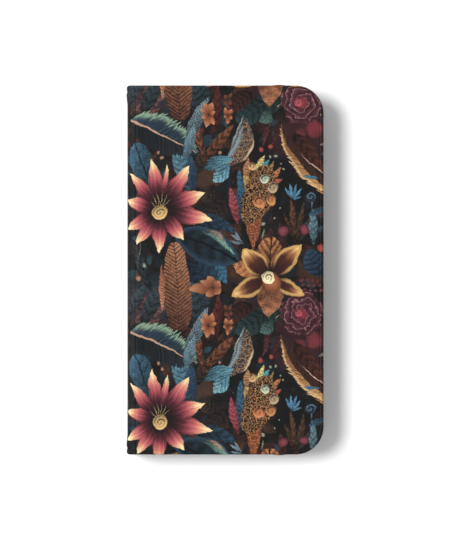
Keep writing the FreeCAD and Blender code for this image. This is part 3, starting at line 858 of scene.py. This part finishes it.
def printed(piece):
    """Gives a piece of the leather its print outside and its cloth inside."""
    piece.data.materials.append(picture.material)
    piece.data.materials.append(cloth.material)
    piece.modifiers["wall"].material_offset = 1
    piece.modifiers["wall"].material_offset_rim = 1


printed(back_leather)


# ---------------------------------------------------------------------------------------------
# The spine: the same sheet of leather over a thinner board. Where it is turned in at the top and
# bottom the folded layers swell, and a pressed groove shows just inside each end.
# ---------------------------------------------------------------------------------------------
SPINE_LOW, SPINE_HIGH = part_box("spine_skin")
SPINE_INNER = SPINE_HIGH.x
SPINE_FACE = -41.6 * MM
SPINE = SPINE_INNER - SPINE_FACE
SWELL = SPINE_FACE - SPINE_LOW.x
FOLD_CENTRE_X = COVER_START - 0.1 * MM
FOLD_RADIUS = FOLD_CENTRE_X - SPINE_FACE
BACK_FOLD_Z = BACK_LOW.z + FOLD_RADIUS
FRONT_FOLD_Z = FRONT_HIGH.z - FOLD_RADIUS
FOLD_ARC = FOLD_RADIUS * np.pi / 2


def leather_across():
    """The line that leather takes from turn-in to turn-in along the case, for the spine and folds.

    Gives the place along the case, the share of the thickness, the crease's depth and the place on
    the flat sheet.
    """
    field = places_along(RIM)
    sheet = RIM - HALF_LENGTH - run_length(EDGE_INSET, 2 * MM * EDGE_SHARE)
    lower = EDGE_INSET - HALF_LENGTH
    along = np.concatenate([lower[::-1], field[1:-1], -lower])
    share = np.concatenate([EDGE_SHARE[::-1], np.ones(field.size - 2), EDGE_SHARE])
    crease = np.concatenate([EDGE_CREASE[::-1], np.zeros(field.size - 2), EDGE_CREASE])
    return along, share, crease, np.concatenate([sheet[::-1], field[1:-1], -sheet])


ALONG, SHARE, CREASE, SHEET_Y = leather_across()


def end_swell():
    """How far the spine stands proud along the case: at each turned-in end, and past a groove."""
    from_end = HALF_LENGTH - np.abs(ALONG)
    places = np.array([0, 1.9, 2.6, 3.9, 5.5, 8.5]) * MM
    swollen = np.interp(from_end, places, [0.85, 0.85, 0.15, 1.0, 0.75, 0])
    return SWELL * swollen * SHARE


def bent_leather(name, face_x, face_z, out_x, out_z, thickness, sheet_x, swell, groove):
    """Leather whose rows follow the cover's bend and whose columns run along the case."""
    height = thickness[:, None] * (SHARE - 1) - CREASE + swell[:, None] * end_swell() - groove[:, None]
    x = face_x[:, None] + out_x[:, None] * height
    z = face_z[:, None] + out_z[:, None] * height
    places = stack(sheet_x[:, None] / MM, SHEET_Y / MM, 0)[..., :2]
    return thicken(mesh_piece(name, [(stack(x, ALONG, z), places)]), LEATHER)


spine_z = np.linspace(BACK_FOLD_Z, FRONT_FOLD_Z, 12)
same = np.ones(spine_z.size)
spine_sheet = FOLD_CENTRE_X - FOLD_ARC - (FRONT_FOLD_Z - spine_z)
spine_leather = bent_leather("spine_leather", SPINE_FACE * same, spine_z, -same, 0 * same, SPINE * same,
                             spine_sheet, same, 0 * same)


# ---------------------------------------------------------------------------------------------
# The two folds: the leather between the boards, where the real case bends. Closed, each is a quarter round
# with a shallow gutter pressed beside the cover's board.
# ---------------------------------------------------------------------------------------------
FOLD = 1.3 * MM
FOLD_STEPS = 22


def fade(share):
    """1 at 0, easing to 0 at 1."""
    share = np.clip(share, 0, 1)
    return (1 - share) ** 2 * (1 + 2 * share)


def fold_line():
    """The fold from the spine round to the cover: angle, then thickness, easing to both neighbours'."""
    angle = np.linspace(0, np.pi / 2, FOLD_STEPS)
    reach = np.radians(24)
    at_spine = (SPINE - FOLD) * fade(angle / reach)
    at_cover = (COVER - FOLD) * fade((np.pi / 2 - angle) / reach)
    return angle, FOLD + at_spine + at_cover


def fold_leather(name, centre_z, upward):
    """One fold's leather. Its last row lies flat and meets the cover's skin."""
    angle, thickness = fold_line()
    groove = 0.16 * MM * np.exp(-(((angle - np.radians(74)) / np.radians(9)) ** 2))
    out_x, out_z = -np.cos(angle), upward * np.sin(angle)
    face_x, face_z = FOLD_CENTRE_X + FOLD_RADIUS * out_x, centre_z + FOLD_RADIUS * out_z
    from_cover = FOLD_RADIUS * (np.pi / 2 - angle)
    columns = [
        np.append(face_x, COVER_START), np.append(face_z, face_z[-1]), np.append(out_x, 0),
        np.append(out_z, upward), np.append(thickness, COVER),
        np.append(from_cover, FOLD_CENTRE_X - COVER_START), np.append(np.cos(angle) ** 2, 0),
        np.append(groove, 0),
    ]
    face_x, face_z, out_x, out_z, thickness, from_cover, swell, groove = (
        columns if upward > 0 else [column[::-1] for column in columns]
    )
    if upward > 0:
        sheet_x = FOLD_CENTRE_X - from_cover
    else:
        sheet_x = FOLD_CENTRE_X - 2 * FOLD_ARC - (FRONT_FOLD_Z - BACK_FOLD_Z) + from_cover
    return bent_leather(name, face_x, face_z, out_x, out_z, thickness, sheet_x, swell, groove)


front_fold = fold_leather("front_fold_leather", FRONT_FOLD_Z, 1)
back_fold = fold_leather("back_fold_leather", BACK_FOLD_Z, -1)


# ---------------------------------------------------------------------------------------------
# The front cover's skin: the same sheet again. The folded hem of the note pocket is trapped in
# its top and bottom edges, and pushes each of them out a little.
# ---------------------------------------------------------------------------------------------
HEM_LOW, HEM_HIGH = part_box("note_pocket_binding")
HEM_SWELL = FRONT_HIGH.y - HALF_LENGTH


def flat_place(x, y):
    """Where a point was on its flat sheet, in millimetres, for a sheet seen from in front."""
    return x / MM, y / MM


def hem_swell(x):
    """A flat-topped bump over the hem's width, eased at both sides."""
    slope = (HEM_HIGH.x - HEM_LOW.x) / 3
    return HEM_SWELL * (1 - fade((x - HEM_LOW.x) / slope)) * (1 - fade((HEM_HIGH.x - x) / slope))


front_leather = thicken(mesh_piece("front_cover_leather", [
    rim_patch(field_x, field_y, FRONT_LOW.z, 1, flat_place, hem_swell),
    face_patch(field_x, field_y, FRONT_HIGH.z, flat_place),
]), LEATHER)


# ---------------------------------------------------------------------------------------------
# The boards: grey pulp board, one in each cover and a thinner one in the spine, glued between
# the leather and the lining. Only their edges show, at the camera window and beside the folds.
# ---------------------------------------------------------------------------------------------
def coat(node, finish):
    """Gives a part its finish."""
    part = bpy.data.objects[node]
    part.data.materials.clear()
    part.data.materials.append(finish.material)


board = Finish("board", {"Roughness": 0.92})
fibres = board.grain(0.5 * MM, 0.03 * MM, 4)
board.feed("Base Color", board.ramp(fibres, [(0.3, "6E685E"), (0.7, "A39B8C"), (0.5, "8C8477")]))
for node in ("back_board", "spine_board", "front_board"):
    coat(node, board)


# ---------------------------------------------------------------------------------------------
# The linings: thin black faux leather, cut a little smaller than the covers and glued over the
# boards and the turned-in edges. A narrow strip of it lines each fold.
# ---------------------------------------------------------------------------------------------
LINING = 0.45 * MM
EDGE_DROP = 0.3 * MM  # how far a cut edge is pressed down
EDGE_EASE = 0.5 * MM  # over about this distance


def black_leather(name, dark, pale, roughness, size):
    """A fine pebbled faux leather, a little paler and shinier on top of its grain."""
    finish = Finish(name, {"Specular IOR Level": 0.3})
    height = finish.grain(size, 0.06 * MM)
    finish.feed("Base Color", finish.ramp(height, [(0.35, dark), (0.7, pale)]))
    finish.feed("Roughness", roughness + 0.15 - height * 0.3)
    return finish


lining = black_leather("lining", "0D0D0F", "1E1E21", 0.6, 0.5 * MM)


def pressed(distance):
    """How far a sheet lies below its face at a distance from its cut edge."""
    return EDGE_DROP * np.exp(-np.maximum(distance, 0) / EDGE_EASE)


def from_lining_edge(x, y):
    """Distance in from the lining's outline: from its straight sides, or from its round corners."""
    past_x, past_y = x - (FREE_EDGE - CORNER), np.abs(y) - ROUND_START
    straight = np.minimum(FREE_EDGE - TURN_IN - x, HALF_LENGTH - TURN_IN - np.abs(y))
    round_corner = CORNER - TURN_IN - np.hypot(past_x, past_y)
    return np.where((past_x > 0) & (past_y > 0), round_corner, straight)


def lining_sheet(name, patches):
    piece = thicken(mesh_piece(name, patches), LINING)
    piece.data.materials.append(lining.material)
    return piece


inner_x, inner_y = cover_field(TURN_IN)
inside_drop = pressed(from_lining_edge(inner_x, inner_y))
front_inner = FRONT_LOW.z
front_lining = lining_sheet("front_cover_lining", [
    turned_over(face_patch(inner_x, inner_y, front_inner + inside_drop, flat_place)),
])

around = [window_border(c) for c in (inner_x, inner_y, BACK_HIGH.z - inside_drop)]
way_x, way_y, outer, reach = window_rays(around[0], around[1])
cut = reach(0 * MM)
lining_share = np.concatenate([np.linspace(0, 0.15, 5), np.linspace(0.2, 1, 9)])[:, None]
radius = cut + lining_share * (outer - cut)
window_z = around[2] - pressed(lining_share * (outer - cut)) * (1 - lining_share)
back_inner = BACK_HIGH.z - inside_drop
back_lining = lining_sheet("back_cover_lining", [
    face_patch(inner_x[:window_column + 1], inner_y[:window_column + 1],
               back_inner[:window_column + 1], flat_place),
    face_patch(inner_x[window_column:, :window_row + 1], inner_y[window_column:, :window_row + 1],
               back_inner[window_column:, :window_row + 1], flat_place),
    face_patch(WINDOW_X + way_x * radius, WINDOW_Y + way_y * radius, window_z, flat_place),
])

lining_along = np.linspace(-(HALF_LENGTH - TURN_IN), HALF_LENGTH - TURN_IN, 121)
end_drop = pressed(HALF_LENGTH - TURN_IN - np.abs(lining_along))


def bent_lining(name, face_x, face_z, out_x, out_z, sheet_x):
    """A strip of lining whose rows follow a bend and whose columns run along the case."""
    x = face_x[:, None] + out_x[:, None] * end_drop
    z = face_z[:, None] + out_z[:, None] * end_drop
    places = stack(sheet_x[:, None] / MM, lining_along / MM, 0)[..., :2]
    return lining_sheet(name, [(stack(x, lining_along, z)[::-1], places[::-1])])


def fold_lining(name, centre_z, upward):
    """The strip in a fold. It follows the leather's thickness, up on to the boards at both sides."""
    angle, thickness = fold_line()
    inside = FOLD_RADIUS - thickness
    out_x, out_z = -np.cos(angle), upward * np.sin(angle)
    rows = [FOLD_CENTRE_X + inside * out_x, centre_z + inside * out_z, out_x, out_z, angle * FOLD_RADIUS]
    last_row = (COVER_START, rows[1][-1], 0, upward, FOLD_ARC + 0.1 * MM)
    rows = [np.append(row, end) for row, end in zip(rows, last_row)]
    return bent_lining(name, *(rows if upward > 0 else [row[::-1] for row in rows]))


spine_lining = bent_lining("spine_lining_sheet", SPINE_INNER * same, spine_z, -same, 0 * same, spine_z)
front_fold_strip = fold_lining("front_fold_strip", FRONT_FOLD_Z, 1)
back_fold_strip = fold_lining("back_fold_strip", BACK_FOLD_Z, -1)


# ---------------------------------------------------------------------------------------------
# The pockets inside the front cover: sheets of the same black leather. A full-height sheet makes
# the note pocket, its open edge bound by a folded hem, and two lower sheets make card slots.
# ---------------------------------------------------------------------------------------------
POCKET = 0.42 * MM
SEAM = 1.3 * MM  # from a pocket's edge to its stitches
SEAM_DEPTH = 0.1 * MM
THUMB_RADIUS = 9 * MM
THUMB_RISE = 3 * MM  # how far the thumb notch's centre stands above the edge
HEM = 4.2 * MM  # the doubled band along a pocket's mouth
pocket_leather = black_leather("pocket_leather", "0F0F11", "212125", 0.55, 0.6 * MM)


def pocket_sheet(name, low, high, notched=True, foot_corner=3 * MM, seams=True):
    """A pocket's sheet as a grid whose columns run from its foot to its mouth.

    The mouth is cut away by a thumb's circle, and the foot's corners are quarter circles. The face
    dips at its edges, along its seams and at the foot of the doubled band.
    """
    middle = (low.x + high.x) / 2
    half = (high.x - low.x) / 2
    turning = half - foot_corner * (1 - np.sin(np.linspace(0, np.pi / 2, 9)))
    centre = np.linspace(-(half - foot_corner), half - foot_corner, 79)[1:-1]
    x = (middle + np.concatenate([-turning[::-1], centre, turning]))[:, None]
    past = np.maximum(np.abs(x - middle) - (half - foot_corner), 0)
    foot = low.y + foot_corner - np.sqrt(np.maximum(foot_corner**2 - past**2, 0))
    cut = np.sqrt(np.maximum(THUMB_RADIUS**2 - (x - middle) ** 2, 0)) - THUMB_RISE
    mouth = high.y - (np.maximum(cut, 0) if notched else 0 * cut)
    bend = high.y - 14 * MM
    near_foot = low.y + 4 * MM
    share = np.linspace(0, 1, 12)[None, :]
    plain = np.linspace(near_foot, bend, 70)[None, 1:-1] + 0 * x
    near_mouth = bend + np.linspace(0, 1, 34) * (mouth - bend)
    y = np.concatenate([foot + share * (near_foot - foot), plain, near_mouth], 1)
    x = x + 0 * y
    beside = half - np.abs(x - middle)
    drop = pressed(np.minimum(np.minimum(beside, y - foot), mouth - y))
    if seams:
        from_seam = np.minimum(np.abs(beside - SEAM), np.abs(y - low.y - SEAM))
        drop = drop + SEAM_DEPTH * np.exp(-((from_seam / (0.45 * MM)) ** 2))
        drop = drop + 0.12 * MM * np.exp(-(((mouth - y - HEM) / (0.25 * MM)) ** 2))
    piece = thicken(mesh_piece(name, [turned_over(face_patch(x, y, low.z + drop, flat_place))]), POCKET)
    piece.data.materials.append(pocket_leather.material)
    return piece


note_sheet = pocket_sheet("note_pocket_sheet", *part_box("note_pocket"), notched=False,
                          foot_corner=0.2 * MM, seams=False)
upper_sheet = pocket_sheet("upper_card_sheet", *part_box("card_pocket_upper"))
lower_sheet = pocket_sheet("lower_card_sheet", *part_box("card_pocket_lower"))

# The hem: a strip folded over the note pocket's edge. Its line runs out along the face, half round
# the fold and back, and is pressed in along the seam.
hem_width, hem_round = HEM_HIGH.x - HEM_LOW.x, (HEM_HIGH.z - HEM_LOW.z) / 2
hem_turn = np.linspace(0, np.pi, 17)
hem_out = HEM_LOW.x + np.linspace(0, 1, 24)[:-1] * (hem_width - hem_round)
hem_x = np.concatenate([hem_out, HEM_HIGH.x + hem_round * (np.sin(hem_turn) - 1), hem_out[::-1]])[:, None]
hem_face = HEM_LOW.z + SEAM_DEPTH * 1.5 * np.exp(-(((hem_out - HEM_LOW.x - SEAM) / (0.6 * MM)) ** 2))
hem_fold = HEM_LOW.z + hem_round * (1 - np.cos(hem_turn))
hem_z = np.concatenate([hem_face, hem_fold, HEM_HIGH.z + 0 * hem_out])[:, None]
hem_drop = end_drop * (hem_z < HEM_LOW.z + hem_round)
hem_points = stack(hem_x, lining_along, hem_z + hem_drop), stack(hem_x / MM, lining_along / MM, 0)[..., :2]
hem = thicken(mesh_piece("note_pocket_hem", [turned_over(hem_points)]), POCKET)
hem.data.materials.append(pocket_leather.material)


# ---------------------------------------------------------------------------------------------
# The stitching: bonded black thread, in rows down both sides and across the foot of the card
# pockets, and along the hem. Each stitch arches out of one needle hole and into the next.
# ---------------------------------------------------------------------------------------------
STITCH = 2.2 * MM
PITCH = 3.2 * MM
THREAD = 0.22 * MM
SEAM_END = 1.0 * MM


def stitch_row(start, end, level):
    """The middles, direction and level of a row of stitches, centred between two places."""
    start, end = np.array(start), np.array(end)
    length = np.hypot(*(end - start))
    count = int((length - STITCH) // PITCH) + 1
    along = (length - (count - 1) * PITCH) / 2 + PITCH * np.arange(count)
    direction = (end - start) / length
    return start + along[:, None] * direction, direction, level


def stitches(name, rows):
    """Threads that arch out of the sheet: a round of 8 sides that narrows to nothing at each end.

    A stitch is x = half length times u, for u from -1 to 1, with its middle at 0.9 of a thread's
    radius times 1 - u squared below the sheet, and the radius times the root of 1 - u to the sixth.
    """
    u = np.linspace(-1, 1, 9)
    round_turn = np.linspace(0, 2 * np.pi, 9)[:, None]
    size = THREAD * np.sqrt(1 - u**6)
    beside = size * np.cos(round_turn)
    below = THREAD * 0.9 * (1 - u**2) - THREAD * 0.3 - size * np.sin(round_turn)
    patches = []
    for middles, (way_x, way_y), level in rows:
        for middle_x, middle_y in middles:
            x = middle_x + way_x * STITCH / 2 * u - way_y * beside
            y = middle_y + way_y * STITCH / 2 * u + way_x * beside
            patches.append(face_patch(x, y, level - below, flat_place))
    piece = mesh_piece(name, patches)
    piece.data.materials.append(thread.material)
    return piece


thread = Finish("thread", {"Roughness": 0.5, "Specular IOR Level": 0.4})
twist = thread.node("TexCoord", {}, {}, "Object")
ply = thread.node("TexWave", {"bands_direction": "DIAGONAL"}, {"Vector": twist, "Scale": 0.35 / MM}, "Fac")
raised = thread.node("Bump", {}, {"Strength": 1.0, "Distance": 0.05 * MM, "Height": ply}, "Normal")
thread.feed("Normal", raised)
thread.feed("Base Color", thread.ramp(ply, [(0.2, "26262A"), (0.8, "4A4A50")]))

(upper_low, upper_high), (lower_low, lower_high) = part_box("card_pocket_upper"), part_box("card_pocket_lower")
foot = lower_low.y + SEAM
sides = lower_low.x + SEAM, lower_high.x - SEAM
card_rows = [stitch_row((sides[0] + SEAM_END, foot), (sides[1] - SEAM_END, foot), lower_low.z)]
for x in sides:
    card_rows.append(stitch_row((x, foot + SEAM_END), (x, lower_high.y - SEAM_END), lower_low.z))
    card_rows.append(stitch_row((x, lower_high.y + SEAM_END), (x, upper_high.y - SEAM_END), upper_low.z))
card_stitches = stitches("card_stitches", card_rows)
hem_seam = HEM_LOW.x + SEAM
hem_end = HALF_LENGTH - TURN_IN - SEAM_END
hem_stitches = stitches("hem_stitches", [stitch_row((hem_seam, -hem_end), (hem_seam, hem_end), HEM_LOW.z)])


# ---------------------------------------------------------------------------------------------
# The tray that grips the telephone: one moulding of tough black plastic, satin, with a fine
# moulded texture. Foam tape sticks it to the back cover's lining.
# ---------------------------------------------------------------------------------------------
plastic = Finish("tray", {"Specular IOR Level": 0.35})
texture = plastic.grain(0.25 * MM, 0.012 * MM, 2)
handled = plastic.noise(plastic.node("TexCoord", {}, {}, "Object"), 45.0, 3)
plastic.feed("Base Color", plastic.ramp(handled, [(0.3, "121314"), (0.75, "1C1D1F")]))
plastic.feed("Roughness", handled * 0.12 + texture * 0.1 + 0.32)
coat("phone_tray", plastic)

tape = Finish("adhesive", {"Roughness": 0.95})
cells = tape.grain(0.35 * MM, 0.06 * MM, 2)
tape.feed("Base Color", tape.ramp(cells, [(0.3, "B9B6AE"), (0.7, "DAD7CF")]))
coat("tray_adhesive", tape)


# ---------------------------------------------------------------------------------------------
# Which body each piece belongs to: every sheet is hung under the empty of the back cover, the spine or the
# front cover, and the parts that it stands for are hidden. The folds stay where they lie closed and hide their
# parts.
# ---------------------------------------------------------------------------------------------
for piece, body, node in [
    (back_leather, "back", "back_skin"), (back_lining, "back", "back_lining"),
    (spine_leather, "spine", "spine_skin"), (spine_lining, "spine", "spine_lining"),
    (front_leather, "front", "front_skin"), (front_lining, "front", "front_lining"),
    (note_sheet, "front", "note_pocket"), (hem, "front", "note_pocket_binding"),
    (upper_sheet, "front", "card_pocket_upper"), (lower_sheet, "front", "card_pocket_lower"),
    (card_stitches, "front", "card_pocket_stitching"), (hem_stitches, "front", "binding_stitching"),
]:
    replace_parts(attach(piece, body), node)

back_bend = (FOLD_CENTRE_X, 0, BACK_LOW.z), (SPINE_FACE, 0, BACK_FOLD_Z)
front_bend = (SPINE_FACE, 0, FRONT_FOLD_Z), (FOLD_CENTRE_X, 0, FRONT_HIGH.z)
# Points where each strip would crease along its middle; the loop below reads them but makes nothing of them.
crease_angle = np.radians([48, 51])
crease_x = FOLD_CENTRE_X - (FOLD_RADIUS - FOLD) * np.cos(crease_angle)
crease_rise = (FOLD_RADIUS - FOLD) * np.sin(crease_angle)
back_bend_inside = [(x, 0, BACK_FOLD_Z - rise) for x, rise in zip(crease_x[::-1], crease_rise[::-1])]
front_bend_inside = [(x, 0, FRONT_FOLD_Z + rise) for x, rise in zip(crease_x, crease_rise)]
for piece, bodies, bend, node in [
    (back_fold, ("back", "spine"), back_bend, "back_fold_skin"),
    (back_fold_strip, ("back", "spine"), back_bend_inside, "back_fold_lining"),
    (front_fold, ("spine", "front"), front_bend, "front_fold_skin"),
    (front_fold_strip, ("spine", "front"), front_bend_inside, "front_fold_lining"),
]:
    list(bodies)
    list(bend)
    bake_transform(piece)
    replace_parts(piece, node)

for piece in (spine_leather, front_leather, back_fold, front_fold):
    printed(piece)

# ---------------------------------------------------------------------------------------------
# The stage: the closed case lies on a white sheet of paper under one large soft light at its upper
# left, in a white room, seen from straight above.
# ---------------------------------------------------------------------------------------------
CAMERA_HEIGHT = 1.6
LENS = 297.5  # at this height it shows 191.5 mm across at the closed cover's face
PAPER = 2.0  # from the middle of the paper to its sides

floor_mesh = bpy.data.meshes.new("floor")
floor_corners = [(PAPER * x, PAPER * y, 0) for x, y in ((-1, -1), (1, -1), (1, 1), (-1, 1))]
floor_mesh.from_pydata(floor_corners, [], [(0, 1, 2, 3)])
floor = bpy.data.objects.new("floor", floor_mesh)
bpy.context.scene.collection.objects.link(floor)
paper = Finish("floor", {"Base Color": (0.93, 0.93, 0.93, 1), "Roughness": 0.9, "Specular IOR Level": 0.2})
floor_mesh.materials.append(paper.material)

lamp = bpy.data.lights.new("key", "SUN")
lamp.angle = np.radians(27)
lamp.energy = 3.2
key = bpy.data.objects.new("key", lamp)
key.rotation_mode = "QUATERNION"
key.rotation_quaternion = Vector((-0.67, 0.19, 1)).to_track_quat("Z", "Y")
bpy.context.scene.collection.objects.link(key)

camera_data = bpy.data.cameras.new("camera")
camera_data.sensor_fit = "HORIZONTAL"
camera_data.lens = LENS
camera = bpy.data.objects.new("camera", camera_data)
camera.location = (0, 0, CAMERA_HEIGHT)
bpy.context.scene.collection.objects.link(camera)
bpy.context.scene.camera = camera

world = bpy.data.worlds.new("studio")
world.use_nodes = True
walls = world.node_tree.nodes["Background"].inputs
walls["Color"].default_value = (1, 1, 1, 1)
walls["Strength"].default_value = 0.54
bpy.context.scene.world = world
bpy.context.scene.view_settings.view_transform = "Standard"
